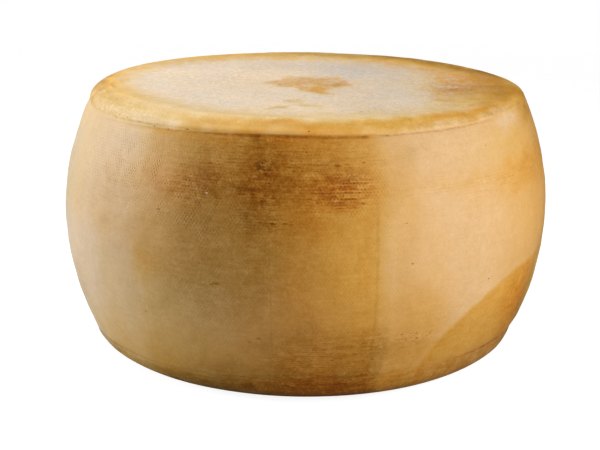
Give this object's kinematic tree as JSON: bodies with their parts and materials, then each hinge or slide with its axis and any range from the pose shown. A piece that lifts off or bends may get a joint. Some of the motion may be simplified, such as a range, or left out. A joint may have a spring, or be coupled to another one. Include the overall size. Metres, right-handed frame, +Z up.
{
  "type": "whole hard cheese wheel",
  "caption": "Whole aged hard cheese wheel: a squat drum with a barrel-shaped side, soft shoulders, shallow seams and a natural ochre rind.",
  "frame": {"origin": "middle of the flat base, on the surface that the wheel stands on", "axes": "+Z up along the wheel's axis, out of the top face; -Y is the front, +X the right-hand side seen from the front"},
  "size_m": [0.4403, 0.4397, 0.236],
  "materials": {
    "rind": "oiled natural rind, low sheen, ochre with paler and darker patches"
  },
  "bodies": {
    "root": {"cheese_wheel": "rind"}
  },
  "joints": []
}
